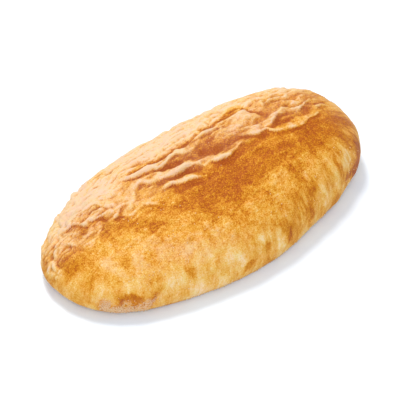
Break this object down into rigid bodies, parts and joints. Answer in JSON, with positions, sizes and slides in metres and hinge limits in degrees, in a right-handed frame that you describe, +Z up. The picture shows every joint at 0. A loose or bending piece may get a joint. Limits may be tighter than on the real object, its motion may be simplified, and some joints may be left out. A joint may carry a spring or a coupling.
{
  "type": "flatbread",
  "caption": "Whole oval white flatbread loaf with a wrinkled, unevenly browned crown, rounded sides and a flat base to rest on.",
  "frame": {"origin": "on the flat base, under the middle of the loaf's box", "axes": "+X along the loaf towards its taller end, +Z up through the crown, +Y across the loaf"},
  "size_m": [0.2798, 0.1426, 0.0609],
  "materials": {
    "crust": "matte"
  },
  "bodies": {
    "root": {"flatbread": "crust"}
  },
  "joints": []
}
